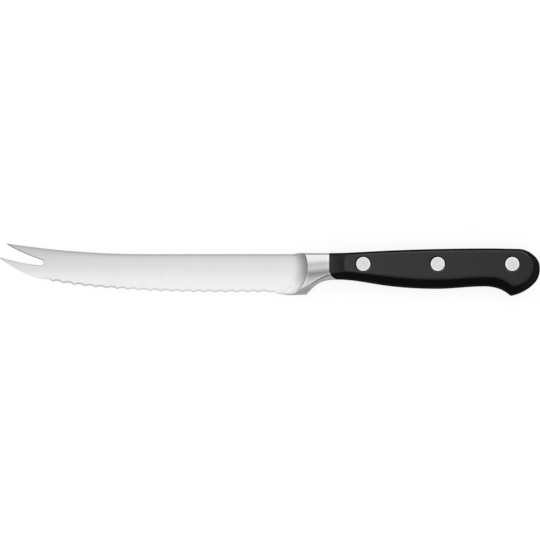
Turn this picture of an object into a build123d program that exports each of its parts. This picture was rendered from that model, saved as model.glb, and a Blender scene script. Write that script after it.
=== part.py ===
from build123d import *
from math import atan2, cos, degrees, radians, sin, tan
import os

# Tomato knife with a forked tip, a scalloped edge and a riveted two-scale handle.
# All lengths are millimetres. The knife is drawn edge down with its tip at -X and its
# left face toward +Z. X is measured from the shoulder where the scales meet the
# bolster, Y from the straight part of the spine and Z from the middle of the steel.

# Blade: spine and tip. A setback is measured back from the lower tine.
lower_tine_reach = 154.9
lower_tine_drop = 1.8
upper_tine_setback = 3.4
upper_tine_rise = 5.0
spine_sweep_length = 64.9
tine_tip_width = 0.4
spine_rounding = 0.4

# Blade: fork slot between the tines
slot_length = 17.25
slot_root_drop = 3.95
slot_root_radius = 1.4
slot_upper_bow_angle = 10.7
slot_lower_bow_angle = 2.5
slot_edge_bevel = 0.2

# Blade: cutting edge. It rises from the heel, runs straight and then curves up. The
# shares are along the blade from the heel to the lower tine, and of the edge's drop.
edge_lift = 1.15
edge_lift_length = 8.2
belly_start_share = 0.24
belly_middle_shares = (0.63, 0.89)
belly_front_shares = (0.818, 0.7115)

# Blade: thickness of the flat ground wedge
spine_thickness_heel = 2.0
spine_thickness_tip = 1.3
edge_thickness_heel = 0.7

# Scallops, ground into the right face only, between two plain ends of the edge
scallop_pitch = 5.12
scallop_depth = 0.85
scallop_radius = 4.0
scallop_grind_angle = 18
scallop_heel_gap = 3.4
scallop_tip_gap = 21

# Bolster: disc shaped sweep that carries the blade face into the bolster side
bolster_arris_reach = 9.76
bolster_arc_radius = 17
bolster_arc_drop = 6
bolster_fan_angle = 60
bolster_root_radius = 7
bolster_top_setback = 2.95
bolster_rise = 0.6
shoulder_rise = 0.5

# Heel and finger guard
heel_reach = 19.6
heel_drop = 19.35
heel_corner_reach = 10.7
heel_corner_lift = 0.3
guard_reach = 5.05
guard_fall = 1.85
guard_angle = 48
guard_ridge_angle = 12
notch_reach = 3.8
notch_drop = 12.0

# Grip silhouette behind the finger notch. A setback is measured forward from the butt.
butt_reach = 99.1
butt_drop = 6.8
flank_reach = 22
flank_drop = 14.15
palm_setback = 48.6
palm_drop = 16.35
waist_setback = 26.1
waist_drop = 15.2
beak_setback = 13.7
beak_drop = 19.7
beak_entry_angle = 42
beak_exit_angle = 11
beak_radius = 0.6
butt_lower_setback = 4.4
butt_lower_drop = 15.4
butt_shoulder_setback = 10.6
butt_shoulder_rise = 2.5
butt_upper_setback = 3.5
butt_upper_fall = 2.5
crest_setback = 23.1
crest_rise = 2.7
back_middle_reach = 20.4
back_middle_rise = 1.3

# Widths that the grip loses between its silhouette and its flat sides
back_inset = 0.9
underside_bevel = 4.2
notch_bevel = 3.9
waist_bevel_shift = 2.0
beak_bevel_shift = 0.8
butt_bevel = 2.8
butt_upper_bevel = 1.8
guard_bevel_shift = 1.65
guard_bevel = 2.15
heel_bevel_shift = 3.15
heel_bevel = 4.25

# Grip thickness
grip_thickness = 14
grip_rim_thickness = 4
grip_round_thickness = 7.6
grip_round_share = 0.2
tang_thickness = 3
scale_corner_radius = 5.2
scale_corner_sink = 0.2
scale_front_gap = 0.05

# Easing of the grip flats down to the bolster
easing_radius = 9
easing_length = 7.5
easing_depth = 0.9
easing_entry_depth = 1.3
bolster_taper_length = 14
bolster_taper_depth = 0.35

# Two-part rivets
rivet_names = ("front", "middle", "rear")
rivet_reach = 16
rivet_rear_setback = 13.1
rivet_drop = 4.6
rivet_head_diameter = 6.7
rivet_head_thickness = 1.5
rivet_tube_diameter = 4.8
rivet_stud_diameter = 2.9
rivet_fit = 0.1
rivet_head_fit = 0.1
rivet_stud_fit = 0.05
rivet_tube_relief = 0.8
rivet_floor = 1.2

# One overrun for every cut that has to pass clear of its piece, and the distance
# within which an edge counts as lying on a line
overrun = 12
touch = 0.01

upper_tine_reach = lower_tine_reach - upper_tine_setback
slot_root_reach = upper_tine_reach - slot_length
edge_drop = heel_drop - edge_lift
heel_corner_drop = heel_drop - heel_corner_lift
bolster_top_reach = bolster_arris_reach + bolster_top_setback
grip_half = grip_thickness / 2
rim_half = grip_rim_thickness / 2
round_half = grip_round_thickness / 2
tang_half = tang_thickness / 2
wedge_angle = degrees(atan2((spine_thickness_heel - edge_thickness_heel) / 2, edge_drop))
taper_angle = degrees(
    atan2((spine_thickness_heel - spine_thickness_tip) / 2, upper_tine_reach - bolster_arris_reach)
)
arc_centre = Vector(-bolster_arris_reach - bolster_arc_radius, -bolster_arc_drop)


def heading(angle):
    """Unit vector in the side view, turned by an angle from +X."""
    return Vector(cos(radians(angle)), sin(radians(angle)))


def face_height(x, y):
    """Height of the left blade face above the middle of the steel."""
    along = (x + bolster_arris_reach) * tan(radians(taper_angle))
    across = y * tan(radians(wedge_angle))
    return spine_thickness_heel / 2 + along + across


# Grip and bolster envelope
def grip_outline(share):
    """Side outline of the grip: the silhouette at 0 and the rim of its flats at 1."""
    heel_front = Vector(-heel_reach, share * heel_bevel - heel_drop)
    heel_corner = Vector(
        -heel_corner_reach - share * heel_bevel_shift, share * heel_bevel - heel_corner_drop
    )
    guard = Vector(
        -guard_reach - share * guard_bevel_shift, share * guard_bevel - notch_drop - guard_fall
    )
    notch = Vector(notch_reach, share * notch_bevel - notch_drop)
    flank = Vector(flank_reach, share * underside_bevel - flank_drop)
    palm = Vector(butt_reach - palm_setback, share * underside_bevel - palm_drop)
    waist = Vector(
        butt_reach - waist_setback + share * waist_bevel_shift, share * underside_bevel - waist_drop
    )
    beak = Vector(
        butt_reach - beak_setback + share * beak_bevel_shift, share * underside_bevel - beak_drop
    )
    butt = Vector(butt_reach - share * butt_bevel, -butt_drop)
    butt_lower = Vector(butt_reach - butt_lower_setback, -butt_lower_drop)
    butt_lower = butt_lower + heading(135) * share * butt_bevel
    butt_upper = Vector(butt_reach - butt_upper_setback, butt_shoulder_rise - butt_upper_fall)
    butt_upper = butt_upper + heading(225) * share * butt_upper_bevel
    butt_shoulder = Vector(
        butt_reach - butt_shoulder_setback, butt_shoulder_rise - share * back_inset
    )
    crest = Vector(butt_reach - crest_setback, crest_rise - share * back_inset)
    back_middle = Vector(back_middle_reach, back_middle_rise - share * back_inset)
    shoulder = Vector(0, shoulder_rise - share * back_inset)
    bolster_top = Vector(-bolster_top_reach, bolster_rise - share * back_inset)
    front = Vector(-heel_reach, -spine_rounding - share * back_inset)

    forward, rearward = heading(180), heading(0)
    guard_start = heading(guard_angle + share * (guard_ridge_angle - guard_angle))
    outline = Curve() + [
        Line(front, heel_front),
        Line(heel_front, heel_corner),
        Spline(heel_corner, guard, notch, tangents=(guard_start, rearward)),
        Spline(notch, flank, palm, tangents=(rearward, rearward)),
        Spline(palm, waist, tangents=(rearward, rearward)),
        Spline(waist, beak, tangents=(rearward, heading(-beak_entry_angle))),
        Spline(beak, butt_lower, butt, tangents=(heading(beak_exit_angle), heading(90))),
        Spline(butt, butt_upper, butt_shoulder, tangents=(heading(90), forward)),
        Spline(butt_shoulder, crest, tangents=(forward, forward)),
        Spline(crest, back_middle, shoulder, tangents=(forward, forward)),
        Line(shoulder, bolster_top),
        Spline(bolster_top, front, tangents=(forward, forward)),
    ]
    face = make_face(outline)
    corner = face.vertices().sort_by_distance(beak)[0]
    return fillet(corner, beak_radius)


def grip_envelope():
    """Bevelled body that bolster, tang and scales share, so that all end flush."""
    levels = (
        (-grip_half, 1),
        (-round_half, grip_round_share),
        (-rim_half, 0),
        (rim_half, 0),
        (round_half, grip_round_share),
        (grip_half, 1),
    )
    body = loft([Pos(0, 0, height) * grip_outline(share) for height, share in levels], ruled=True)
    return body & grip_thickness_form()


def grip_thickness_form():
    """Space between the grip flats, eased down round the front rivet to the bolster."""
    eased_radius = easing_radius + easing_length
    bolster_radius = eased_radius + bolster_taper_length
    outer_radius = rivet_reach + heel_reach + overrun
    eased_half = grip_half - easing_depth
    bolster_half = eased_half - bolster_taper_depth
    bolster_fall = Vector(bolster_taper_length, -bolster_taper_depth)
    easing = Spline(
        (easing_radius, grip_half),
        (eased_radius, eased_half),
        tangents=(Vector(easing_length, -easing_entry_depth), bolster_fall),
    )
    rim = Polyline(
        easing @ 1,
        (bolster_radius, bolster_half),
        (outer_radius, bolster_half),
        (outer_radius, 0),
        (0, 0),
        (0, grip_half),
        easing @ 0,
    )
    profile = make_face([easing] + rim.edges())
    axis = Pos(rivet_reach, -rivet_drop)
    turned = revolve(Plane.XZ * profile, Axis.Z, 360)
    rear_length = butt_reach + overrun - rivet_reach
    rear = Box(rear_length, 2 * outer_radius, grip_half, align=(Align.MIN, Align.CENTER, Align.MIN))
    upper = axis * (turned + rear)
    return upper + mirror(upper, Plane.XY)


# Blade
def edge_point(length_share, drop_share):
    """Point near the cutting edge, by its shares of the blade's length and drop."""
    reach = heel_reach + length_share * (lower_tine_reach - heel_reach)
    return Vector(-reach, -drop_share * edge_drop)


def edge_line():
    """Cutting edge before the scallops, from the heel forward to the lower tine."""
    heel = Line((-heel_reach, -heel_drop), (-heel_reach - edge_lift_length, -edge_drop))
    straight = Line(heel @ 1, edge_point(belly_start_share, 1))
    belly = TangentArc(straight @ 1, edge_point(*belly_middle_shares), tangent=straight % 1)
    front = TangentArc(belly @ 1, edge_point(*belly_front_shares), tangent=belly % 1)
    tip = TangentArc(front @ 1, (-lower_tine_reach, -lower_tine_drop), tangent=front % 1)
    return [heel, straight, belly, front, tip]


def blade_blank():
    """Blade in side view, without its fork slot, at the thickness of the grip rim."""
    edge = edge_line()
    nose = Line(edge[-1] @ 1, (-upper_tine_reach, upper_tine_rise))
    sweep_start = Vector(spine_sweep_length - upper_tine_reach, 0)
    sweep = TangentArc(sweep_start, nose @ 1, tangent=heading(180))
    spine = Line((-bolster_top_reach, 0), sweep @ 0)
    root = Line((-bolster_top_reach, -heel_corner_drop), spine @ 0)
    heel = Line(edge[0] @ 0, root @ 0)
    outline = Curve() + edge + [nose, sweep, spine, root, heel]
    return extrude(make_face(outline), amount=rim_half, both=True)


def face_place():
    """Plane of the left blade face, set under the middle of the bolster arc."""
    height = face_height(arc_centre.X, arc_centre.Y)
    return Pos(arc_centre.X, arc_centre.Y, height) * Rot(wedge_angle, -taper_angle, 0)


def face_cutter():
    """Space over the left blade face, rounded where it runs up into the bolster."""
    run = (lower_tine_reach + overrun) / sin(radians(bolster_fan_angle))
    high = heading(bolster_fan_angle) * bolster_arc_radius
    low = heading(-bolster_fan_angle) * bolster_arc_radius
    far_high = high + heading(90 + bolster_fan_angle) * run
    far_low = low + heading(-90 - bolster_fan_angle) * run
    disc = ThreePointArc(low, heading(0) * bolster_arc_radius, high)
    fan = Polyline(high, far_high, far_low, low)
    plan = make_face([disc] + fan.edges())
    body = extrude(plan, amount=bolster_root_radius + overrun)
    rim = body.faces().sort_by(Axis.Z)[0].edges().sort_by(Axis.X)[1:]
    return face_place() * fillet(rim, bolster_root_radius)


def spine_edges(body):
    """Edges of the spine on both faces, from the nose up to the bolster."""
    edges = body.edges().filter_by(lambda edge: min((edge @ 0).Y, (edge @ 1).Y) > -touch)
    edges = edges.filter_by(lambda edge: max((edge @ 0).X, (edge @ 1).X) < -bolster_top_reach)
    return edges.filter_by(lambda edge: (edge @ 0).Z * (edge @ 1).Z > 0)


def slope(start, end):
    """Angle at which a line toward the tip rises."""
    return degrees(atan2(end.Y - start.Y, start.X - end.X))


def slot_outline(growth):
    """Fork slot: two curved walls that meet in a round root, all moved out by a growth."""
    centre = Vector(-slot_root_reach - slot_root_radius, -slot_root_drop)
    upper_tip = Vector(-upper_tine_reach, upper_tine_rise)
    lower_tip = Vector(-lower_tine_reach, -lower_tine_drop)
    mouth = (lower_tip - upper_tip).normalized()
    upper_tip = upper_tip + mouth * (tine_tip_width - growth)
    lower_tip = lower_tip - mouth * (tine_tip_width - growth)
    upper_angle = slope(centre, upper_tip) - slot_upper_bow_angle
    lower_angle = slope(centre, lower_tip) - slot_lower_bow_angle
    radius = slot_root_radius + growth
    upper_root = centre + heading(90 - upper_angle) * radius
    lower_root = centre + heading(-90 - lower_angle) * radius
    upper = TangentArc(upper_root, upper_tip, tangent=heading(180 - upper_angle))
    lower = TangentArc(lower_root, lower_tip, tangent=heading(180 - lower_angle))
    root = ThreePointArc(upper_root, centre + heading(0) * radius, lower_root)
    outward = Vector(mouth.Y, -mouth.X) * overrun
    opening = Polyline(lower @ 1, (lower @ 1) + outward, (upper @ 1) + outward, upper @ 1)
    return make_face([upper, root, lower] + opening.edges())


def slot_cutters():
    """Fork slot through the blade and the bevel along its rim on both faces."""
    through = extrude(slot_outline(0), amount=overrun, both=True)
    sections = []
    for growth in (-slot_edge_bevel, 2 * slot_edge_bevel):
        height = Pos(-arc_centre.X, -arc_centre.Y, growth - slot_edge_bevel)
        sections.append(face_place() * height * slot_outline(growth))
    flare = loft(sections, ruled=True)
    return [through, flare, mirror(flare, Plane.XY)]


def scallop_cutters():
    """Wheels that grind the scallops from the right face at a low angle."""
    edge = Wire(edge_line())
    wheel_radius = scallop_radius / sin(radians(scallop_grind_angle))
    room = edge.length - scallop_heel_gap - scallop_tip_gap
    cutters = []
    for index in range(int(room / scallop_pitch)):
        run = scallop_heel_gap + (index + 1 / 2) * scallop_pitch
        point = edge.position_at(run, position_mode=PositionMode.LENGTH)
        along = edge.tangent_at(run, position_mode=PositionMode.LENGTH)
        inward = Vector(0, 0, -1).cross(along)
        crown = point + inward * scallop_depth
        crown = Vector(crown.X, crown.Y, face_height(crown.X, crown.Y))
        lean = cos(radians(scallop_grind_angle))
        dip = sin(radians(scallop_grind_angle))
        axis = inward * lean - Vector(0, 0, dip)
        outward = inward * -dip - Vector(0, 0, lean)
        wheel = Cylinder(wheel_radius, 2 * overrun)
        place = Plane(origin=crown + outward * wheel_radius, x_dir=along, z_dir=axis)
        cutters.append(place.location * wheel)
    return cutters


# Handle pieces
def scale_blank(side):
    """Block that one scale is taken from; side is 1 for left and -1 for right."""
    length = butt_reach + overrun
    top = crest_rise + overrun
    low = -beak_drop - overrun
    corner = Vector(0, -notch_drop - scale_corner_sink)
    rear = scale_corner_radius + scale_corner_sink
    plan = make_face(
        Polyline(
            (0, top),
            (length, top),
            (length, low),
            (rear, low),
            (rear, corner.Y),
            corner,
            close=True,
        )
    )
    plan = fillet(plan.vertices().sort_by_distance(corner)[0], scale_corner_radius)
    block = extrude(plan, amount=grip_half + overrun)
    block = Pos(0, 0, tang_half) * block
    return block if side > 0 else mirror(block, Plane.XY)


def rivet_places():
    """Rivet axes, in a row along the handle."""
    pitch = (butt_reach - rivet_rear_setback - rivet_reach) / (len(rivet_names) - 1)
    return [Pos(rivet_reach + index * pitch, -rivet_drop) for index in range(len(rivet_names))]


def rivet_holes():
    """Bore for the tube of a rivet with a seat for a head at both ends."""
    bore = Cylinder(rivet_tube_diameter / 2 + rivet_fit, grip_thickness + overrun)
    seat = Cylinder(
        rivet_head_diameter / 2 + rivet_head_fit,
        overrun,
        align=(Align.CENTER, Align.CENTER, Align.MIN),
    )
    seat = Pos(0, 0, grip_half - rivet_head_thickness) * seat
    hole = bore + seat + mirror(seat, Plane.XY)
    return [place * hole for place in rivet_places()]


def rivet_stud():
    """Left half of a rivet: flush head with a solid shank."""
    head_floor = grip_half - rivet_head_thickness
    shank_end = -(grip_half - rivet_head_thickness - rivet_floor)
    head = Pos(0, 0, head_floor) * Cylinder(
        rivet_head_diameter / 2, rivet_head_thickness, align=(Align.CENTER, Align.CENTER, Align.MIN)
    )
    shank = Pos(0, 0, shank_end) * Cylinder(
        rivet_stud_diameter / 2,
        head_floor - shank_end,
        align=(Align.CENTER, Align.CENTER, Align.MIN),
    )
    return head + shank


def rivet_socket():
    """Right half of a rivet: flush head with a tube that takes the stud."""
    head_floor = grip_half - rivet_head_thickness
    tube_end = head_floor - rivet_tube_relief
    bore_end = -(grip_half - rivet_floor)
    head = Pos(0, 0, -grip_half) * Cylinder(
        rivet_head_diameter / 2, rivet_head_thickness, align=(Align.CENTER, Align.CENTER, Align.MIN)
    )
    tube = Pos(0, 0, -head_floor) * Cylinder(
        rivet_tube_diameter / 2,
        head_floor + tube_end,
        align=(Align.CENTER, Align.CENTER, Align.MIN),
    )
    bore = Pos(0, 0, bore_end) * Cylinder(
        rivet_stud_diameter / 2 + rivet_stud_fit,
        tube_end - bore_end + overrun,
        align=(Align.CENTER, Align.CENTER, Align.MIN),
    )
    return head + tube - bore


def forging(envelope):
    """Blade, bolster and full tang in one piece of steel."""
    blanks = [scale_blank(1), scale_blank(-1)]
    cutter = face_cutter()
    cutters = [cutter, mirror(cutter, Plane.XY)]
    blade = blade_blank() - cutters
    blade = fillet(spine_edges(blade), spine_rounding)
    body = (envelope - blanks - cutters) + blade
    body = body - slot_cutters()
    for wheel in scallop_cutters():
        body = body - wheel
    return body - rivet_holes()


def handle_scale(envelope, side):
    """Left or right scale, riveted to the tang."""
    gap = Pos(scale_front_gap, 0, 0)
    return (envelope & (gap * scale_blank(side))) - rivet_holes()


def knife():
    """All the pieces by name, in the drawing frame."""
    envelope = grip_envelope()
    pieces = {
        "forged_blade": forging(envelope),
        "handle_scale_left": handle_scale(envelope, 1),
        "handle_scale_right": handle_scale(envelope, -1),
    }
    for name, place in zip(rivet_names, rivet_places()):
        pieces[f"rivet_stud_{name}"] = place * rivet_stud()
        pieces[f"rivet_socket_{name}"] = place * rivet_socket()
    return pieces


# Finished knife lying on its right scale, origin under the middle of its bounding box
os.makedirs("parts", exist_ok=True)
pieces = knife()
box = Compound(list(pieces.values())).bounding_box()
shift = Pos(-box.center().X, -box.center().Y, -box.min.Z)
for name, piece in pieces.items():
    export_step(shift * piece, f"parts/{name}.step")
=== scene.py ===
"""Dresses the tomato knife: satin ground steel, black scales, rivet heads, studio and camera."""

import logging
import math
from dataclasses import dataclass, field
from enum import Enum
from functools import cached_property

import bpy
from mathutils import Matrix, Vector


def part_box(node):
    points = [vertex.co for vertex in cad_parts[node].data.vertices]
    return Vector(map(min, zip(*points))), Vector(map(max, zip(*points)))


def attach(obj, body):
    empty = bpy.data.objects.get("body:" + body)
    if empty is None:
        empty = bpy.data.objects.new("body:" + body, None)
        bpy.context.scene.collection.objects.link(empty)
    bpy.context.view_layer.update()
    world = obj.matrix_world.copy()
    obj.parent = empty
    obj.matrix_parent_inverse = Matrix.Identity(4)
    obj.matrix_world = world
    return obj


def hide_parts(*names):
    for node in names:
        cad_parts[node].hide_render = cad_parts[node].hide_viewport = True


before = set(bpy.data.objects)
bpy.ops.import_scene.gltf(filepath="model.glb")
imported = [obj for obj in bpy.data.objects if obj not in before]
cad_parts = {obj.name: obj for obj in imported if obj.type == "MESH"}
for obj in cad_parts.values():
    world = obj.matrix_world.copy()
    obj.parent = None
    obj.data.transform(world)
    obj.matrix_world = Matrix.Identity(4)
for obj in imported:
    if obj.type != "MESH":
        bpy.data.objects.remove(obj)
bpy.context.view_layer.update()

MM = 0.001
LOG = logging.getLogger("tomato_knife")
RELIEF_DEPTH = 0.02 * MM
ROUNDING_SAMPLES = 8

Socket = bpy.types.NodeSocket
Span = tuple[float, float]
Stops = tuple[tuple[float, float], ...]
Tint = tuple[float, float, float]


def linear(tone: float) -> float:
    """Linear light from 0 to 1 of a grey tone from 0 to 255, as a screen shows it."""
    value = tone / 255
    return value / 12.92 if value <= 0.04045 else ((value + 0.055) / 1.055) ** 2.4


def metres(stops: Stops) -> Stops:
    """Stops with their places in metres, from millimetres."""
    return tuple((place * MM, share) for place, share in stops)


def lit(stops: Stops) -> Stops:
    """Stops in metres and linear light, from millimetres and display tones."""
    return tuple((place * MM, linear(tone)) for place, tone in stops)


class Axis(Enum):
    """Axis of the row frame, by its output on a Separate XYZ node."""

    ALONG = "X"
    ACROSS = "Y"
    THROUGH = "Z"


@dataclass(frozen=True)
class Grain:
    """Noise stretched along the axes with few features.

    Its scale counts features per metre along each axis, and its detail the octaves.
    """

    scale: tuple[float, float, float]
    detail: float = 2.0


class NodeSheet:
    """Short calls for drawing a node tree."""

    def __init__(self, tree: bpy.types.NodeTree) -> None:
        """Starts from an empty tree."""
        self.tree = tree
        self.tree.nodes.clear()

    def node(self, kind: str, **settings: object) -> bpy.types.Node:
        """Adds a node.

        Args:
            kind: Blender's node type.
            **settings: Properties to set on it.

        Returns:
            The new node.
        """
        made = self.tree.nodes.new(kind)
        for name, value in settings.items():
            setattr(made, name, value)
        return made

    def feed(self, socket: Socket, value: "Socket | float | tuple | Vector") -> None:
        """Links a socket to another, or sets its value.

        Args:
            socket: The input that is fed.
            value: The output or the plain value that it takes.
        """
        if isinstance(value, bpy.types.NodeSocket):
            self.tree.links.new(value, socket)
        else:
            socket.default_value = value

    def math(self, operation: str, *values: "Socket | float") -> Socket:
        """One Math node.

        Args:
            operation: Name of the operation.
            *values: Its inputs in order.

        Returns:
            The node's output.
        """
        made = self.node("ShaderNodeMath", operation=operation)
        for socket, value in zip(made.inputs, values):
            self.feed(socket, value)
        return made.outputs[0]

    def product(self, first: "Socket | float", *others: "Socket | float") -> "Socket | float":
        """Product of several numbers.

        Args:
            first: First factor.
            *others: The other factors.

        Returns:
            The product.
        """
        total = first
        for factor in others:
            total = self.math("MULTIPLY", total, factor)
        return total

    def excess(self, value: "Socket | float", limit: "Socket | float") -> Socket:
        """How far a number lies above a limit, or 0 below it."""
        return self.math("MAXIMUM", self.math("SUBTRACT", value, limit), 0.0)

    def rest(self, share: Socket) -> Socket:
        """What a share leaves of 1."""
        return self.math("SUBTRACT", 1.0, share)

    def spread(self, value: Socket, span: Span) -> Socket:
        """Maps a span smoothly to 0 to 1 and clamps it.

        Args:
            value: The number to map.
            span: Value that gives 0 and value that gives 1.

        Returns:
            The mapped number.
        """
        made = self.node("ShaderNodeMapRange", interpolation_type="SMOOTHSTEP")
        self.feed(made.inputs["Value"], value)
        self.feed(made.inputs["From Min"], span[0])
        self.feed(made.inputs["From Max"], span[1])
        return made.outputs[0]

    def ramp(self, value: Socket, stops: Stops) -> Socket:
        """Number that follows a few stops.

        A colour ramp holds shares up to 1, so its stops are divided by the highest one.

        Args:
            value: The number that is looked up.
            stops: Pairs of a value and the number it gives.

        Returns:
            The number between the stops.
        """
        places = [place for place, _ in stops]
        low, high = min(places), max(places)
        peak = max(level for _, level in stops)
        scaled = self.node("ShaderNodeMapRange")
        self.feed(scaled.inputs["Value"], value)
        self.feed(scaled.inputs["From Min"], low)
        self.feed(scaled.inputs["From Max"], high)
        made = self.node("ShaderNodeValToRGB")
        made.color_ramp.interpolation = "LINEAR"
        elements = made.color_ramp.elements
        # New stops start in the middle of the ramp, and the loop after this moves them.
        while len(elements) < len(stops):
            elements.new(0.5)
        for element, (place, level) in zip(elements, sorted(stops)):
            share = level / peak
            element.position = (place - low) / (high - low)
            element.color = (share, share, share, 1)
        self.feed(made.inputs[0], scaled.outputs[0])
        split = self.node("ShaderNodeSeparateColor")
        self.feed(split.inputs[0], made.outputs[0])
        return self.math("MULTIPLY", split.outputs[0], peak)

    def mix(
        self, share: "Socket | float", low: "Socket | float", high: "Socket | float"
    ) -> Socket:
        """Blend of two numbers.

        Args:
            share: 0 gives the first number and 1 the second.
            low: First number.
            high: Second number.

        Returns:
            The blended number.
        """
        made = self.node("ShaderNodeMix", data_type="FLOAT")
        self.feed(made.inputs[0], share)
        self.feed(made.inputs[2], low)
        self.feed(made.inputs[3], high)
        return made.outputs[0]

    def swing(self, noise: Socket, reach: float, middle: "Socket | float") -> Socket:
        """Number that a noise from 0 to 1 moves up and down by at most its reach."""
        return self.math("ADD", self.mix(noise, -reach, reach), middle)

    def grey(self, value: Socket, tint: Tint) -> Socket:
        """Colour of a grey with a slight tint.

        Args:
            value: The grey as linear light.
            tint: Shares of red, green and blue.

        Returns:
            The colour.
        """
        made = self.node("ShaderNodeCombineColor")
        for socket, share in zip(made.inputs, tint):
            self.feed(socket, self.math("MULTIPLY", value, share))
        return made.outputs[0]

    def split(self, vector: Socket) -> dict[Axis, Socket]:
        """Components of a vector.

        Args:
            vector: The vector.

        Returns:
            Its components by axis.
        """
        made = self.node("ShaderNodeSeparateXYZ")
        self.feed(made.inputs[0], vector)
        return {axis: made.outputs[axis.value] for axis in Axis}

    def end(self, kind: str, shader: bpy.types.Node) -> None:
        """Ends the tree in a shader, through an output node of the given kind."""
        output = self.node(kind)
        self.feed(output.inputs["Surface"], shader.outputs[0])


class MaterialSheet(NodeSheet):
    """Tree of a new material that reads its place on the piece and the piece's normals."""

    def __init__(self, name: str) -> None:
        """Starts the material.

        Args:
            name: Name of the material.
        """
        self.material = bpy.data.materials.new(name)
        self.material.use_nodes = True
        super().__init__(self.material.node_tree)
        self.coords = self.node("ShaderNodeTexCoord").outputs["Object"]

    @cached_property
    def place(self) -> dict[Axis, Socket]:
        """Object coordinates by axis."""
        return self.split(self.coords)

    def over(self, axis: Axis, span: Span) -> Socket:
        """Share from 0 to 1 that grows over a span of one axis of the piece."""
        return self.spread(self.place[axis], span)

    def grain(self, grain: Grain) -> Socket:
        """Noise that lies still on the piece.

        Args:
            grain: Its scale and detail.

        Returns:
            Noise from 0 to 1.
        """
        mapping = self.node("ShaderNodeMapping")
        self.feed(mapping.inputs["Vector"], self.coords)
        self.feed(mapping.inputs["Scale"], grain.scale)
        made = self.node("ShaderNodeTexNoise")
        self.feed(made.inputs["Vector"], mapping.outputs[0])
        self.feed(made.inputs["Scale"], 1.0)
        self.feed(made.inputs["Detail"], grain.detail)
        return made.outputs[0]

    def rounded_normal(self, radius: float) -> dict[Axis, Socket]:
        """Normal with its edges rounded.

        Args:
            radius: Radius of the rounding in metres.

        Returns:
            Its components in object space by axis.
        """
        bevel = self.node("ShaderNodeBevel", samples=ROUNDING_SAMPLES)
        self.feed(bevel.inputs["Radius"], radius)
        return self.to_object(bevel.outputs[0])

    def face_normal(self) -> dict[Axis, Socket]:
        """Normal of the face itself by axis."""
        return self.to_object(self.node("ShaderNodeNewGeometry").outputs["True Normal"])

    def to_object(self, normal: Socket) -> dict[Axis, Socket]:
        """Turns a normal from world space to object space.

        Args:
            normal: The normal in world space.

        Returns:
            Its components in object space by axis.
        """
        turned = self.node(
            "ShaderNodeVectorTransform",
            vector_type="NORMAL",
            convert_from="WORLD",
            convert_to="OBJECT",
        )
        self.feed(turned.inputs[0], normal)
        return self.split(turned.outputs[0])

    def facing(self, normal: dict[Axis, Socket]) -> Socket:
        """How far a normal points up or down, from 0 to 1."""
        return self.math("ABSOLUTE", normal[Axis.THROUGH])

    def coat(
        self, tone: Socket, tint: Tint, roughness: Socket, relief: Socket, strength: float
    ) -> bpy.types.Node:
        """Ends the tree in a shader with a fine relief.

        Args:
            tone: Grey of the surface as linear light.
            tint: Shares of red, green and blue.
            roughness: Roughness of the surface.
            relief: Height of the relief from 0 to 1.
            strength: How strongly the relief shows.

        Returns:
            The shader, for the numbers that are the same all over.
        """
        bump = self.node("ShaderNodeBump")
        self.feed(bump.inputs["Strength"], strength)
        self.feed(bump.inputs["Distance"], RELIEF_DEPTH)
        self.feed(bump.inputs["Height"], relief)
        shader = self.node("ShaderNodeBsdfPrincipled")
        self.feed(shader.inputs["Base Color"], self.grey(tone, tint))
        self.feed(shader.inputs["Roughness"], roughness)
        self.feed(shader.inputs["Normal"], bump.outputs[0])
        self.end("ShaderNodeOutputMaterial", shader)
        return shader


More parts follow.
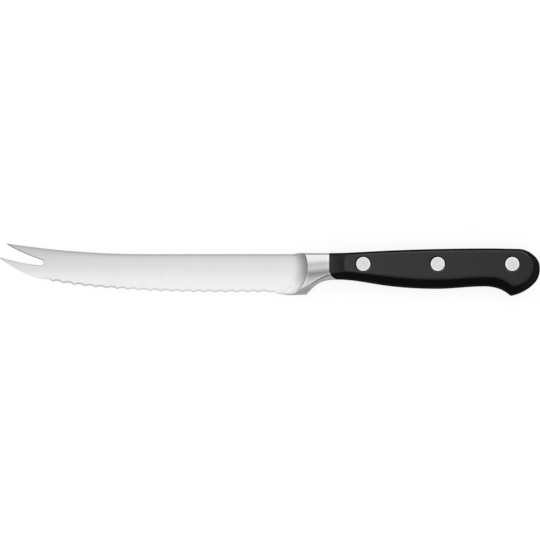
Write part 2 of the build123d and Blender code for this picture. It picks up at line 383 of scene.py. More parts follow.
@dataclass(frozen=True)
class BladeLook:
    """Painted reflection and shade on the blade: its ground face, spine, scallops, fork and
    heel.

    A share is a factor on the face's tone. Stops give tones or shares by height across the
    blade or depth under the spine, in millimetres, or by how far the surface faces up.
    """

    # Painted reflection: tones by height across the blade, lighter towards the edge.
    face_tones: Stops = (
        (-12.0, 242),
        (-9.0, 241),
        (-6.0, 239),
        (-4.5, 237.5),
        (-3.2, 235),
        (-1.3, 230),
        (0.6, 226),
        (2.5, 223),
        (4.3, 219.5),
        (5.4, 217),
        (6.2, 214),
        (6.8, 211),
        (7.3, 209),
        (8.3, 206),
        (12.4, 203),
    )
    # Painted reflection, a little darker in the blade's upper half towards the tip.
    tip_along: Span = (-30.0 * MM, -115.0 * MM)
    tip_across: Span = (-2.5 * MM, 1.5 * MM)
    tip_share: float = 0.955
    # Painted shade: the steeper a slope, the darker its tone.
    facets: Stops = (
        (0.0, 0.50),
        (0.46, 0.58),
        (0.57, 0.61),
        (0.73, 0.65),
        (0.83, 0.73),
        (0.91, 0.83),
        (0.96, 0.91),
        (0.99, 0.98),
        (1.0, 1.0),
    )
    # Painted shade: the slopes darken close under the spine line.
    spine_height: float = 7.33 * MM
    sweep_start: float = -58.0 * MM
    sweep_rise: float = 1.25
    spine_shares: Stops = (
        (0.0, 0.66),
        (0.45, 0.70),
        (0.75, 0.78),
        (1.0, 0.88),
        (1.4, 0.93),
        (1.9, 0.965),
        (2.4, 0.985),
        (3.2, 1.0),
    )
    spine_facing: Span = (0.6, 0.9)
    # Painted shade: a dark line along the scallops' edge and inside the fork.
    line_radius: float = 0.65 * MM
    line_slope: Span = (-0.06, -0.36)
    scallop_along: Span = (-60.0 * MM, -85.0 * MM)
    scallop_shares: Span = (0.80, 0.64)
    belly_along: Span = (-101.0 * MM, -106.0 * MM)
    fork_along: Span = (-92.0 * MM, -98.0 * MM)
    tine_across: Span = (3.0 * MM, 4.4 * MM)
    tine_share: float = 0.45
    heel_along: Span = (1.0 * MM, 5.0 * MM)
    heel_across: Span = (-1.0 * MM, -9.5 * MM)
    # Painted highlight where the heel fillet bends, and painted shade where it steepens.
    heel_facets: Stops = (
        (0.0, 0.60),
        (0.30, 0.67),
        (0.42, 0.80),
        (0.54, 0.96),
        (0.63, 1.10),
        (0.71, 1.20),
        (0.78, 1.19),
        (0.83, 1.15),
        (0.87, 1.08),
        (0.91, 1.01),
        (0.95, 0.98),
        (0.98, 0.99),
        (1.0, 1.0),
    )
    # Painted shade that dims the lamp's glint low on the fillet.
    glint_across: Span = (-6.3 * MM, -8.6 * MM)
    glint_rise: Span = (0.80, 0.90)
    glint_fall: Span = (0.985, 0.945)
    glint_share: float = 0.82
    # Painted shade along the fillet's lower hem.
    hem_across: Span = (-10.3 * MM, -11.9 * MM)
    hem_share: float = 0.60

    def face(self, sheet: MaterialSheet) -> Socket:
        """Painted reflection on the ground face, a little darker in its upper half towards the
        tip.

        Args:
            sheet: Tree that is drawn.

        Returns:
            The tone.
        """
        tone = sheet.ramp(sheet.place[Axis.ACROSS], lit(self.face_tones))
        upper_tip = sheet.product(
            sheet.over(Axis.ALONG, self.tip_along), sheet.over(Axis.ACROSS, self.tip_across)
        )
        return sheet.product(tone, sheet.mix(upper_tip, 1.0, self.tip_share))

    def under_spine(self, sheet: MaterialSheet, facing: Socket) -> Socket:
        """Share left by the painted shade close under the spine, by the depth under its line.

        The line is level from the bolster on and rises with the square of the distance
        beyond the start of the sweep.

        Args:
            sheet: Tree that is drawn.
            facing: How far the surface faces up or down, from 0 to 1.

        Returns:
            The share.
        """
        beyond = sheet.excess(self.sweep_start, sheet.place[Axis.ALONG])
        rise = sheet.product(beyond, beyond, self.sweep_rise)
        top = sheet.math("ADD", rise, self.spine_height)
        depth = sheet.math("SUBTRACT", top, sheet.place[Axis.ACROSS])
        share = sheet.ramp(depth, metres(self.spine_shares))
        return sheet.mix(sheet.spread(facing, self.spine_facing), 1.0, share)

    def edge_line(self, sheet: MaterialSheet, rear: Socket) -> Socket:
        """Share left by a painted dark line of shade along the scallops and inside the fork.

        Args:
            sheet: Tree that is drawn.
            rear: 1 at the heel of the blade and 0 ahead of it.

        Returns:
            The share.
        """
        eased = sheet.rounded_normal(self.line_radius)[Axis.ACROSS]
        below = sheet.product(sheet.spread(eased, self.line_slope), sheet.rest(rear))
        scallops = sheet.mix(sheet.over(Axis.ALONG, self.scallop_along), *self.scallop_shares)
        belly = sheet.mix(sheet.over(Axis.ALONG, self.belly_along), scallops, 1.0)
        tines = sheet.mix(sheet.over(Axis.ACROSS, self.tine_across), belly, self.tine_share)
        share = sheet.mix(sheet.over(Axis.ALONG, self.fork_along), scallops, tines)
        return sheet.mix(below, 1.0, share)

    def heel_fillet(self, sheet: MaterialSheet, facing: Socket) -> Socket:
        """Share on the fillet at the heel: painted highlight where it bends, painted shade on
        its glint and hem.

        Args:
            sheet: Tree that is drawn.
            facing: How far the surface faces up or down, from 0 to 1.

        Returns:
            The share.
        """
        glint = sheet.product(
            sheet.over(Axis.ACROSS, self.glint_across),
            sheet.spread(facing, self.glint_rise),
            sheet.spread(facing, self.glint_fall),
        )
        hem = sheet.over(Axis.ACROSS, self.hem_across)
        return sheet.product(
            sheet.ramp(facing, self.heel_facets),
            sheet.mix(glint, 1.0, self.glint_share),
            sheet.mix(hem, 1.0, self.hem_share),
        )

    def facet(self, sheet: MaterialSheet, facing: Socket) -> Socket:
        """Share of painted shade and highlight on the blade's slopes, scallops, spine and heel.

        Args:
            sheet: Tree that is drawn.
            facing: How far the surface faces up or down, from 0 to 1.

        Returns:
            The share.
        """
        rear = sheet.over(Axis.ALONG, self.heel_along)
        slopes = sheet.math(
            "MINIMUM", sheet.ramp(facing, self.facets), self.under_spine(sheet, facing)
        )
        slopes = sheet.product(slopes, self.edge_line(sheet, rear))
        heel = sheet.product(sheet.over(Axis.ACROSS, self.heel_across), rear)
        return sheet.mix(heel, slopes, self.heel_fillet(sheet, facing))


@dataclass(frozen=True)
class BolsterLook:
    """Painted reflection and shade on the bolster and guard: face bands, facets and the guard's
    ridge.

    Along the ridge the flat side gleams with a painted highlight, a painted dark line of shade
    runs on the facet under it, and painted shade darkens the facet again at its lower rim. Gleam
    and line are stronger in the finger notch.
    """

    # Painted reflection: bright and dark bands across the bolster's face, by height.
    face_tones: Stops = (
        (-9.0, 214),
        (-5.7, 202),
        (-4.5, 193),
        (-3.6, 178),
        (-2.7, 161),
        (-1.9, 142),
        (-1.1, 153),
        (-0.5, 171),
        (0.0, 189),
        (0.5, 200),
        (1.1, 204),
        (1.8, 198),
        (2.5, 192),
        (3.2, 205),
        (3.9, 220),
        (4.6, 232),
        (5.5, 238),
        (6.90, 239),
        (7.10, 172),
        (7.6, 166),
    )
    middle: float = 22.0 * MM
    lean: float = 0.11
    lean_across: Span = (6.5 * MM, 2.0 * MM)
    # Painted highlight: a pale strip along the bolster's edge at the scale.
    strip_along: Span = (26.0 * MM, 27.2 * MM)
    strip_across: Span = (-1.5 * MM, 1.0 * MM)
    strip_share: float = 1.07
    # Painted shade: the steeper a facet, the darker its tone.
    facets: Stops = (
        (0.0, 0.40),
        (0.30, 0.50),
        (0.52, 0.61),
        (0.62, 0.64),
        (0.74, 0.66),
        (0.85, 0.74),
        (0.93, 0.90),
        (0.97, 1.0),
        (1.0, 1.0),
    )
    ridge_radius: float = 2.4 * MM
    notch_along: Span = (21.5 * MM, 26.0 * MM)
    flat_facing: Span = (0.93, 0.97)
    # Painted highlight along the guard's ridge on its flat side.
    gleam_across: Span = (-1.0 * MM, -3.5 * MM)
    gleam_start: float = 0.965
    gleam_rates: Span = (8.0, 20.0)
    gleam_most: float = 1.3
    # Painted shade: a dark line on the facet under the ridge.
    line_along: Span = (15.0 * MM, 23.5 * MM)
    line_facing: Span = (0.42, 0.52)
    line_start: float = 0.035
    line_rates: Span = (7.0, 26.0)
    line_least: float = 0.05
    shoulder_along: Span = (25.2 * MM, 26.4 * MM)
    shoulder_across: Span = (-3.5 * MM, -2.7 * MM)
    # Painted shade at the facet's lower rim.
    rim_start: float = 0.02
    rim_rate: float = 3.0
    rim_most: float = 0.50

    def face(self, sheet: MaterialSheet) -> Socket:
        """Painted reflection bands that lean on the bolster's flat face, and a painted highlight
        strip at the scale.

        Args:
            sheet: Tree that is drawn.

        Returns:
            The tone.
        """
        away = sheet.math("SUBTRACT", sheet.place[Axis.ALONG], self.middle)
        lean = sheet.product(away, self.lean, sheet.over(Axis.ACROSS, self.lean_across))
        band = sheet.math("SUBTRACT", sheet.place[Axis.ACROSS], lean)
        strip = sheet.product(
            sheet.over(Axis.ALONG, self.strip_along), sheet.over(Axis.ACROSS, self.strip_across)
        )
        tone = sheet.ramp(band, lit(self.face_tones))
        return sheet.product(tone, sheet.mix(strip, 1.0, self.strip_share))

    def gleam(self, sheet: MaterialSheet, eased: Socket, notch: Socket) -> Socket:
        """Factor of the painted highlight on the flat side of the ridge.

        Args:
            sheet: Tree that is drawn.
            eased: How far the rounded surface faces up or down, from 0 to 1.
            notch: 1 in the finger notch and 0 ahead of it.

        Returns:
            The factor, 1 or more.
        """
        gain = sheet.product(
            sheet.excess(self.gleam_start, eased),
            sheet.mix(notch, *self.gleam_rates),
            sheet.over(Axis.ACROSS, self.gleam_across),
        )
        return sheet.math("ADD", sheet.math("MINIMUM", gain, self.gleam_most), 1.0)

    def dark_line(
        self, sheet: MaterialSheet, eased: Socket, plain: Socket, notch: Socket
    ) -> Socket:
        """Share left by painted shade on the facet under the ridge, in its dark line and at its
        rim.

        Behind the shoulder the line stays only on the upper part of the facet.

        Args:
            sheet: Tree that is drawn.
            eased: How far the rounded surface faces up or down, from 0 to 1.
            plain: How far the face itself does.
            notch: 1 in the finger notch and 0 ahead of it.

        Returns:
            The share.
        """
        shoulder = sheet.mix(
            sheet.over(Axis.ALONG, self.shoulder_along),
            1.0,
            sheet.over(Axis.ACROSS, self.shoulder_across),
        )
        depth = sheet.product(
            sheet.excess(sheet.math("SUBTRACT", eased, plain), self.line_start),
            shoulder,
            sheet.spread(plain, self.line_facing),
            sheet.over(Axis.ALONG, self.line_along),
            sheet.mix(notch, *self.line_rates),
        )
        line = sheet.math("MAXIMUM", sheet.rest(depth), self.line_least)
        fall = sheet.excess(sheet.math("SUBTRACT", plain, eased), self.rim_start)
        rim = sheet.math("MINIMUM", sheet.product(fall, self.rim_rate), self.rim_most)
        return sheet.product(line, sheet.rest(rim))

    def facet(self, sheet: MaterialSheet, facing: Socket) -> Socket:
        """Share of painted shade on the facets and of painted highlight and shade along the
        guard's ridge.

        Args:
            sheet: Tree that is drawn.
            facing: How far the surface faces up or down, from 0 to 1.

        Returns:
            The share.
        """
        eased = sheet.facing(sheet.rounded_normal(self.ridge_radius))
        plain = sheet.facing(sheet.face_normal())
        notch = sheet.over(Axis.ALONG, self.notch_along)
        ridge = sheet.mix(
            sheet.spread(plain, self.flat_facing),
            self.dark_line(sheet, eased, plain, notch),
            self.gleam(sheet, eased, notch),
        )
        return sheet.product(sheet.ramp(facing, self.facets), ridge)


@dataclass(frozen=True)
class SteelFinish:
    """Stainless steel: ground across the blade, brushed on the bolster, its tones painted
    reflection and shade.

    The bolster is told from the blade by its height over the middle of the steel, and its
    front fillet, which slopes towards the tip, goes with the blade.
    """

    name: str = "satin_steel"
    slot: str = "forged_steel"
    tint: Tint = (1.0, 1.0, 0.995)
    roughness: float = 0.30
    roughness_swing: float = 0.04
    edge_radius: float = 0.25 * MM
    middle: float = 7.0 * MM
    side_height: Span = (4.3 * MM, 4.9 * MM)
    guard_height: Span = (1.6 * MM, 2.2 * MM)
    guard_slope: Span = (-0.38, -0.52)
    rearward_slope: Span = (-0.42, -0.22)
    # Painted reflection: the tone of the guard's lower facet.
    low_facet_facing: Span = (0.86, 0.78)
    low_facet_tone: float = 208
    lines: Grain = Grain((2600, 90, 90), 3.0)
    line_swing: float = 0.035
    bands: Grain = Grain((210, 25, 25))
    band_swing: float = 0.025
    relief: float = 0.12
    blade: BladeLook = BladeLook()
    bolster: BolsterLook = BolsterLook()

    def material(self) -> bpy.types.Material:
        """Builds the steel.

        Returns:
            The material.
        """
        sheet = MaterialSheet(self.name)
        normal = sheet.rounded_normal(self.edge_radius)
        facing = sheet.facing(normal)
        level = sheet.math("SUBTRACT", sheet.place[Axis.THROUGH], self.middle)
        height = sheet.math("ABSOLUTE", level)
        rearward = sheet.spread(normal[Axis.ALONG], self.rearward_slope)
        side = sheet.product(sheet.spread(height, self.side_height), rearward)
        guard = sheet.product(
            sheet.spread(height, self.guard_height),
            sheet.spread(normal[Axis.ACROSS], self.guard_slope),
            rearward,
        )
        forged = sheet.math("MAXIMUM", side, guard)
        # The face and facet tones below are painted reflection, highlight and shade.
        low_facet = sheet.product(guard, sheet.spread(facing, self.low_facet_facing))
        bolster = sheet.mix(low_facet, self.bolster.face(sheet), linear(self.low_facet_tone))
        face = sheet.mix(forged, self.blade.face(sheet), bolster)
        facet = sheet.mix(
            forged, self.blade.facet(sheet, facing), self.bolster.facet(sheet, facing)
        )
        lines = sheet.grain(self.lines)
        streak = sheet.swing(lines, self.line_swing, 1.0)
        drift = sheet.swing(sheet.grain(self.bands), self.band_swing, streak)
        shader = sheet.coat(
            sheet.product(face, facet, drift),
            self.tint,
            sheet.swing(lines, self.roughness_swing, self.roughness),
            lines,
            self.relief,
        )
        sheet.feed(shader.inputs["Metallic"], 1.0)
        return sheet.material


@dataclass(frozen=True)
class ScaleFinish:
    """Black moulded plastic: satin on the flats, a painted light strip on the upper edge,
    painted shade on the bevels.

    Stops give the grey by how far the surface faces up, and a factor on it by the place
    along the knife in millimetres.
    """

    name: str = "black_scale_plastic"
    slot: str = "black_scale"
    tint: Tint = (1.0, 1.0, 1.0)
    roughness: float = 0.42
    wall_roughness: float = 0.92
    wall_facing: Span = (0.30, 0.55)
    roughness_swing: float = 0.05
    specular: float = 0.03
    edge_radius: float = 0.85 * MM
    # Painted shade: the grey falls as the surface turns away from facing up.
    facets: Stops = (
        (0.0, 0.0015),
        (0.78, 0.0022),
        (0.87, 0.004),
        (0.94, 0.011),
        (0.985, 0.016),
        (0.996, 0.026),
        (1.0, 0.0405),
    )
    length_shares: Stops = (
        (32.0, 1.19),
        (61.0, 1.07),
        (94.0, 0.965),
        (108.0, 0.90),
        (117.5, 0.85),
        (122.5, 0.775),
        (127.0, 0.70),
    )
    # Painted light: a strip of light on the upper edge.
    upper_tone: float = 0.12
    upper_rise: Span = (0.02, 0.09)
    upper_fall: Span = (0.37, 0.27)
    upper_facing: Span = (0.75, 0.91)
    upper_turn: Span = (0.30, 0.10)
    upper_along: Span = (32.0 * MM, 46.0 * MM)
    # Painted shade on the bevels at the butt, along its brink and underneath.
    butt_slope: Span = (0.03, 0.14)
    butt_fall: Span = (0.30, 0.0)
    butt_share: float = 0.12
    brink_radius: float = 3.0 * MM
    brink_fall: Span = (0.02, -0.08)
    brink_along: Span = (117.6 * MM, 119.5 * MM)
    under_slope: Span = (0.0, -0.14)
    under_across: Span = (-1.2 * MM, -2.4 * MM)
    under_share: float = 0.52
    pores: Grain = Grain((2400, 3200, 3200))
    pore_swing: float = 0.10
    brush: Grain = Grain((120, 2600, 2600))
    brush_swing: float = 0.06
    relief: float = 0.15

    def upper_edge(
        self, sheet: MaterialSheet, normal: dict[Axis, Socket], facing: Socket
    ) -> Socket:
        """Share of the painted strip of light on the upper edge.

        Args:
            sheet: Tree that is drawn.
            normal: The rounded normal by axis.
            facing: How far the surface faces up or down, from 0 to 1.

        Returns:
            The share.
        """
        return sheet.product(
            sheet.spread(normal[Axis.ACROSS], self.upper_rise),
            sheet.spread(normal[Axis.ACROSS], self.upper_fall),
            sheet.spread(facing, self.upper_facing),
            sheet.spread(normal[Axis.ALONG], self.upper_turn),
            sheet.over(Axis.ALONG, self.upper_along),
        )

    def satin(
        self, sheet: MaterialSheet, normal: dict[Axis, Socket], facing: Socket
    ) -> Socket:
        """Grey of the flats, with painted shade that falls softly to the bevels at the butt and
        underneath.

        Args:
            sheet: Tree that is drawn.
            normal: The rounded normal by axis.
            facing: How far the surface faces up or down, from 0 to 1.

        Returns:
            The grey.
        """
        wide = sheet.rounded_normal(self.brink_radius)
        bevel = sheet.product(
            sheet.spread(normal[Axis.ALONG], self.butt_slope),
            sheet.spread(normal[Axis.ACROSS], self.butt_fall),
        )
        brink = sheet.product(
            sheet.spread(wide[Axis.ALONG], self.butt_slope),
            sheet.spread(wide[Axis.ACROSS], self.brink_fall),
            sheet.over(Axis.ALONG, self.brink_along),
        )
        under = sheet.product(
            sheet.spread(wide[Axis.ACROSS], self.under_slope),
            sheet.over(Axis.ACROSS, self.under_across),
        )
        return sheet.product(
            sheet.ramp(facing, self.facets),
            sheet.mix(
                sheet.math("MAXIMUM", bevel, brink),
                sheet.mix(under, 1.0, self.under_share),
                self.butt_share,
            ),
            sheet.ramp(sheet.place[Axis.ALONG], metres(self.length_shares)),
        )

    def material(self) -> bpy.types.Material:
        """Builds the plastic.

        Returns:
            The material.
        """
        sheet = MaterialSheet(self.name)
        normal = sheet.rounded_normal(self.edge_radius)
        facing = sheet.facing(normal)
        # The painted light strip over the grey with its painted shade.
        tone = sheet.mix(
            self.upper_edge(sheet, normal, facing),
            self.satin(sheet, normal, facing),
            self.upper_tone,
        )
        pores, brush = sheet.grain(self.pores), sheet.grain(self.brush)
        drift = sheet.swing(brush, self.brush_swing, sheet.swing(pores, self.pore_swing, 1.0))
        flat = sheet.spread(facing, self.wall_facing)
        roughness = sheet.mix(flat, self.wall_roughness, self.roughness)
        shader = sheet.coat(
            sheet.product(tone, drift),
            self.tint,
            sheet.swing(brush, self.roughness_swing, roughness),
            pores,
            self.relief,
        )
        sheet.feed(shader.inputs["Specular IOR Level"], self.specular)
        return sheet.material


@dataclass(frozen=True)
class RivetFinish:
    """Pale rivet metal: a bright turned rim round a finely speckled face."""

    name: str = "pale_rivet_metal"
    slot: str = "rivet_metal"
    attribute: str = "turn_radius"
    tint: Tint = (1.0, 1.0, 0.995)
    rim: Span = (2.60 * MM, 3.10 * MM)
    rim_tone: float = 246
    rim_roughness: float = 0.22
    rim_height: float = 0.5
    face_tones: Span = (208, 234)
    roughness: float = 0.34
    speckle: Grain = Grain((2300, 2300, 2300), 3.0)
    speckle_span: Span = (0.35, 0.65)
    relief: float = 0.25

    def material(self) -> bpy.types.Material:
        """Builds the rivet metal.

        Returns:
            The material.
        """
        sheet = MaterialSheet(self.name)
        radius = sheet.node("ShaderNodeAttribute", attribute_name=self.attribute).outputs["Fac"]
        ring = sheet.spread(radius, self.rim)
        speckle = sheet.grain(self.speckle)
        dark, pale = self.face_tones
        spots = sheet.spread(speckle, self.speckle_span)
        face = sheet.mix(spots, linear(dark), linear(pale))
        shader = sheet.coat(
            sheet.mix(ring, face, linear(self.rim_tone)),
            self.tint,
            sheet.mix(ring, self.roughness, self.rim_roughness),
            sheet.mix(ring, speckle, self.rim_height),
            self.relief,
        )
        sheet.feed(shader.inputs["Metallic"], 1.0)
        return sheet.material


@dataclass(frozen=True)
class FloorFinish:
    """Plain pale floor that shows white and still takes the knife's shadow."""

    name: str = "pale_floor"
    albedo: float = 0.22
    glow: float = 0.83

    def material(self) -> bpy.types.Material:
        """Builds the floor.

        Returns:
            The material.
        """
        made = bpy.data.materials.new(self.name)
        made.use_nodes = True
        sheet = NodeSheet(made.node_tree)
        path = sheet.node("ShaderNodeLightPath")
        seen = sheet.math(
            "MAXIMUM", path.outputs["Is Camera Ray"], path.outputs["Is Glossy Ray"]
        )
        seen = sheet.math("MAXIMUM", seen, path.outputs["Is Transmission Ray"])
        matt = sheet.node("ShaderNodeBsdfDiffuse")
        sheet.feed(matt.inputs["Color"], (self.albedo, self.albedo, self.albedo, 1))
        light = sheet.node("ShaderNodeEmission")
        sheet.feed(light.inputs["Color"], (1, 1, 1, 1))
        sheet.feed(light.inputs["Strength"], sheet.product(seen, self.glow))
        both = sheet.node("ShaderNodeAddShader")
        sheet.feed(both.inputs[0], matt.outputs[0])
        sheet.feed(both.inputs[1], light.outputs[0])
        sheet.end("ShaderNodeOutputMaterial", both)
        return made


def dress(piece: bpy.types.Object, material: bpy.types.Material) -> None:
    """Puts one material on every face of a piece."""
    piece.data.materials.clear()
    piece.data.materials.append(material)


@dataclass
class Forging:
    """Blade, bolster and tang, shown by the CAD solid in its finish."""

    node: str = "forged_blade"
    finish: SteelFinish = field(default_factory=SteelFinish)

    def build(self) -> None:
        """Dresses the forging."""
        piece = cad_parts[self.node]
        dress(piece, self.finish.material())
        LOG.info("dressed %s", piece.name)


@dataclass
class Handle:
    """The two riveted scales, shown by their CAD solids in their finish."""

    nodes: tuple[str, ...] = ("handle_scale_left", "handle_scale_right")
    finish: ScaleFinish = field(default_factory=ScaleFinish)

    def build(self) -> None:
        """Dresses both scales."""
        material = self.finish.material()
        for name in self.nodes:
            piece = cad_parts[name]
            dress(piece, material)
            LOG.info("dressed %s", piece.name)


class GeometrySheet(NodeSheet):
    """A Geometry Nodes tree with named inputs."""

    def __init__(self, name: str) -> None:
        """Starts a tree with its geometry input and output.

        Args:
            name: Name of the tree.
        """
        tree = bpy.data.node_groups.new(name, "GeometryNodeTree")
        super().__init__(tree)
        tree.interface.new_socket("Geometry", in_out="INPUT", socket_type="NodeSocketGeometry")
        tree.interface.new_socket("Geometry", in_out="OUTPUT", socket_type="NodeSocketGeometry")
        self.entry = self.node("NodeGroupInput")
        self.exit = self.node("NodeGroupOutput")

    def entry_socket(self, name: str, kind: str) -> str:
        """Adds a named input and gives the identifier by which a modifier sets it."""
        return self.tree.interface.new_socket(name, in_out="INPUT", socket_type=kind).identifier


@dataclass
class RivetHalves:
    """Three alike rivet halves turned from one profile and set in a row.

    The profile runs from the axis round to the axis, as pairs of a radius and a height.
    """

    name: str
    nodes: tuple[str, ...]
    profile: tuple[tuple[float, float], ...]
    turns: int = 96
    merge_distance: float = 0.001 * MM
    crease: float = math.radians(25)

    def turn_radius(self) -> float:
        """Radius of the circle that the profile is turned round."""
        return max(radius for radius, _ in self.profile)

    def outline(self) -> bpy.types.Object:
        """Profile as seen from the turning circle.

        Returns:
            The profile's object.
        """
        mesh = bpy.data.meshes.new(self.name)
        turn = self.turn_radius()
        points = [(radius - turn, -height, 0.0) for radius, height in self.profile]
        edges = [(index, index + 1) for index in range(len(points) - 1)]
        mesh.from_pydata(points, edges, [])
        piece = bpy.data.objects.new(self.name, mesh)
        bpy.context.scene.collection.objects.link(piece)
        return piece

    def tree(self, attribute: str) -> tuple[bpy.types.NodeTree, dict[str, str]]:
        """Tree that turns the profile and repeats the result.

        Args:
            attribute: Name under which each point keeps its distance from the axis.

        Returns:
            The tree, and the identifier of each named input.
        """
        sheet = GeometrySheet(self.name + "_turning")
        kinds = {
            "Turn Radius": "NodeSocketFloat",
            "Turns": "NodeSocketInt",
            "Count": "NodeSocketInt",
            "First": "NodeSocketVector",
            "Pitch": "NodeSocketVector",
            "Merge Distance": "NodeSocketFloat",
            "Material": "NodeSocketMaterial",
        }
        keys = {name: sheet.entry_socket(name, kind) for name, kind in kinds.items()}
        given = sheet.entry.outputs
        line = sheet.node("GeometryNodeMeshToCurve")
        sheet.feed(line.inputs["Mesh"], given["Geometry"])
        circle = sheet.node("GeometryNodeCurvePrimitiveCircle")
        sheet.feed(circle.inputs["Resolution"], given["Turns"])
        sheet.feed(circle.inputs["Radius"], given["Turn Radius"])
        lathe = sheet.node("GeometryNodeCurveToMesh")
        sheet.feed(lathe.inputs["Curve"], circle.outputs["Curve"])
        sheet.feed(lathe.inputs["Profile Curve"], line.outputs["Curve"])
        merged = sheet.node("GeometryNodeMergeByDistance")
        sheet.feed(merged.inputs["Geometry"], lathe.outputs["Mesh"])
        sheet.feed(merged.inputs["Distance"], given["Merge Distance"])
        position = sheet.split(sheet.node("GeometryNodeInputPosition").outputs[0])
        radius = sheet.math(
            "SQRT",
            sheet.math(
                "ADD",
                sheet.math("POWER", position[Axis.ALONG], 2.0),
                sheet.math("POWER", position[Axis.ACROSS], 2.0),
            ),
        )
        stored = sheet.node("GeometryNodeStoreNamedAttribute", data_type="FLOAT", domain="POINT")
        sheet.feed(stored.inputs["Geometry"], merged.outputs[0])
        sheet.feed(stored.inputs["Name"], attribute)
        sheet.feed(stored.inputs["Value"], radius)
        row = sheet.node("GeometryNodeMeshLine", mode="OFFSET")
        sheet.feed(row.inputs["Count"], given["Count"])
        sheet.feed(row.inputs["Start Location"], given["First"])
        sheet.feed(row.inputs["Offset"], given["Pitch"])
        placed = sheet.node("GeometryNodeInstanceOnPoints")
        sheet.feed(placed.inputs["Points"], row.outputs["Mesh"])
        sheet.feed(placed.inputs["Instance"], stored.outputs["Geometry"])
        real = sheet.node("GeometryNodeRealizeInstances")
        sheet.feed(real.inputs["Geometry"], placed.outputs["Instances"])
        finish = sheet.node("GeometryNodeSetMaterial")
        sheet.feed(finish.inputs["Geometry"], real.outputs["Geometry"])
        sheet.feed(finish.inputs["Material"], given["Material"])
        sheet.feed(sheet.exit.inputs["Geometry"], finish.outputs["Geometry"])
        return sheet.tree, keys

    def build(self, finish: RivetFinish, material: bpy.types.Material) -> None:
        """Makes the row of rivet halves and lets it stand for their nodes.

        Args:
            finish: Finish of the rivets.
            material: The finish's material.
        """
        centres = []
        for node in self.nodes:
            low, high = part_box(node)
            centres.append((low + high) / 2)
        piece = self.outline()
        tree, keys = self.tree(finish.attribute)
        modifier = piece.modifiers.new("turning", "NODES")
        modifier.node_group = tree
        modifier[keys["Turn Radius"]] = self.turn_radius()
        modifier[keys["Turns"]] = self.turns
        modifier[keys["Count"]] = len(self.nodes)
        modifier[keys["First"]] = Vector((centres[0].x, centres[0].y, 0.0))
        modifier[keys["Pitch"]] = Vector((centres[1].x - centres[0].x, 0.0, 0.0))
        modifier[keys["Merge Distance"]] = self.merge_distance
        modifier[keys["Material"]] = material
        graph = bpy.context.evaluated_depsgraph_get()
        mesh = bpy.data.meshes.new_from_object(piece.evaluated_get(graph))
        piece.modifiers.clear()
        piece.data = mesh
        mesh.name = self.name
        mesh.shade_smooth()
        mesh.set_sharp_from_angle(angle=self.crease)
        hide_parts(*self.nodes)
        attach(piece, "root")
        LOG.info("built %s with %d faces", piece.name, len(mesh.polygons))


@dataclass
class Rivets:
    """Two-part rivets: studs with solid shanks on the left, tubes on the right."""

    places: tuple[str, ...] = ("front", "middle", "rear")
    bevel: float = 0.12 * MM
    head_thickness: float = 1.5 * MM
    shank_radius: float = 1.45 * MM
    tube_radius: float = 2.4 * MM
    bore_radius: float = 1.5 * MM
    bore_floor: float = 1.2 * MM
    finish: RivetFinish = field(default_factory=RivetFinish)

    def build(self) -> None:
        """Builds both rows of rivet halves."""
        material = self.finish.material()
        studs = tuple(f"rivet_stud_{place}" for place in self.places)
        sockets = tuple(f"rivet_socket_{place}" for place in self.places)
        low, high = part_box(studs[0])
        head = (high.x - low.x) / 2
        under = high.z - self.head_thickness
        RivetHalves(
            "rivet_studs",
            studs,
            (
                (0.0, high.z),
                (head - self.bevel, high.z),
                (head, high.z - self.bevel),
                (head, under),
                (self.shank_radius, under),
                (self.shank_radius, low.z),
                (0.0, low.z),
            ),
        ).build(self.finish, material)
        low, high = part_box(sockets[0])
        floor = low.z + self.bore_floor
        over = low.z + self.head_thickness
        RivetHalves(
            "rivet_sockets",
            sockets,
            (
                (0.0, floor),
                (self.bore_radius, floor),
                (self.bore_radius, high.z),
                (self.tube_radius, high.z),
                (self.tube_radius, over),
                (head, over),
                (head, low.z + self.bevel),
                (head - self.bevel, low.z),
                (0.0, low.z),
            ),
        ).build(self.finish, material)


@dataclass(frozen=True)
class Lamp:
    """Soft panel that faces the knife, with its place and size in metres and power in watts."""

    name: str
    place: tuple[float, float, float]
    size: tuple[float, float]
    power: float

    def build(self) -> None:
        """Hangs the lamp."""
        data = bpy.data.lights.new(self.name, "AREA")
        data.shape = "RECTANGLE"
        data.size, data.size_y = self.size
        data.energy = self.power
        piece = bpy.data.objects.new(self.name, data)
        piece.location = self.place
        piece.rotation_mode = "QUATERNION"
        piece.rotation_quaternion = Vector(self.place).to_track_quat("Z", "Y")
        piece.visible_camera = False
        bpy.context.scene.collection.objects.link(piece)


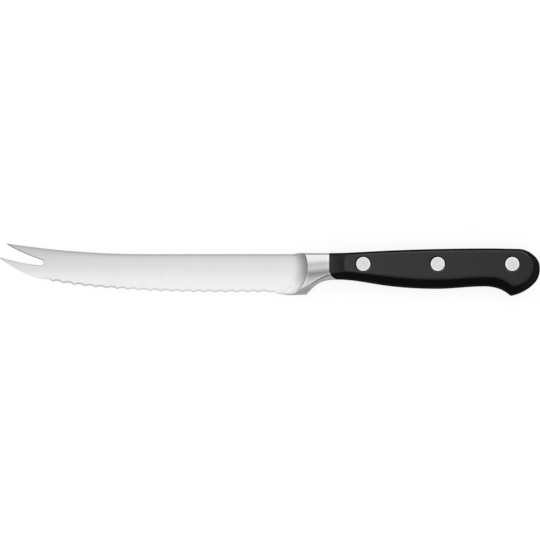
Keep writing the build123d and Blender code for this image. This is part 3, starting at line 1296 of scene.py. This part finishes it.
@dataclass
class Studio:
    """Pale floor, soft lamps and an even pale world, brighter overhead than at the horizon."""

    floor_size: float = 12.0
    floor_drop: float = 0.05 * MM
    finish: FloorFinish = field(default_factory=FloorFinish)
    lamps: tuple[Lamp, ...] = (
        Lamp("overhead", (0.0, -0.25, 1.6), (1.2, 0.9), 0.35),
        Lamp("upper_left", (-0.35, 0.95, 0.95), (1.4, 1.0), 1.6),
    )
    sky: Stops = ((-1.0, 0.66), (0.0, 0.68), (0.5, 0.80), (0.9, 0.90), (1.0, 0.92))
    sky_tint: Tint = (1.0, 1.0, 1.0)

    def build(self) -> None:
        """Builds the floor, the lamps and the world."""
        self.floor()
        for lamp in self.lamps:
            lamp.build()
        self.world()
        LOG.info("built the studio")

    def floor(self) -> None:
        """Adds the floor under the knife."""
        half = self.floor_size / 2
        mesh = bpy.data.meshes.new("floor")
        corners = [(-half, -half, 0), (half, -half, 0), (half, half, 0), (-half, half, 0)]
        mesh.from_pydata(corners, [], [(0, 1, 2, 3)])
        piece = bpy.data.objects.new("floor", mesh)
        bpy.context.scene.collection.objects.link(piece)
        piece.location.z = -self.floor_drop
        dress(piece, self.finish.material())

    def world(self) -> None:
        """Lights the scene from all round."""
        world = bpy.data.worlds.new("pale_room")
        bpy.context.scene.world = world
        world.use_nodes = True
        sheet = NodeSheet(world.node_tree)
        way = sheet.split(sheet.node("ShaderNodeTexCoord").outputs["Generated"])
        light = sheet.node("ShaderNodeBackground")
        tone = sheet.ramp(way[Axis.THROUGH], self.sky)
        sheet.feed(light.inputs["Color"], sheet.grey(tone, self.sky_tint))
        sheet.end("ShaderNodeOutputWorld", light)


@dataclass
class Camera:
    """Long lens straight over the knife, which spans the picture."""

    lens: float = 700.0
    sensor: float = 36.0
    span: float = 254.0 * MM
    focus: tuple[float, float, float] = (0.10 * MM, -0.13 * MM, 7.0 * MM)
    clip: Span = (0.05, 50.0)

    def build(self) -> None:
        """Adds the camera and makes it the scene's."""
        data = bpy.data.cameras.new("camera")
        data.lens = self.lens
        data.sensor_width = self.sensor
        data.clip_start, data.clip_end = self.clip
        piece = bpy.data.objects.new("camera", data)
        piece.location = Vector(self.focus) + Vector((0, 0, self.span * self.lens / self.sensor))
        bpy.context.scene.collection.objects.link(piece)
        bpy.context.scene.camera = piece
        LOG.info("camera at %s", tuple(round(value, 4) for value in piece.location))


def main() -> None:
    """Builds the whole scene in order."""
    logging.basicConfig(level=logging.INFO, format="%(name)s: %(message)s")
    bpy.context.scene.view_settings.view_transform = "Standard"
    Camera().build()
    Forging().build()
    Handle().build()
    Rivets().build()
    Studio().build()


if __name__ == "__main__":
    main()
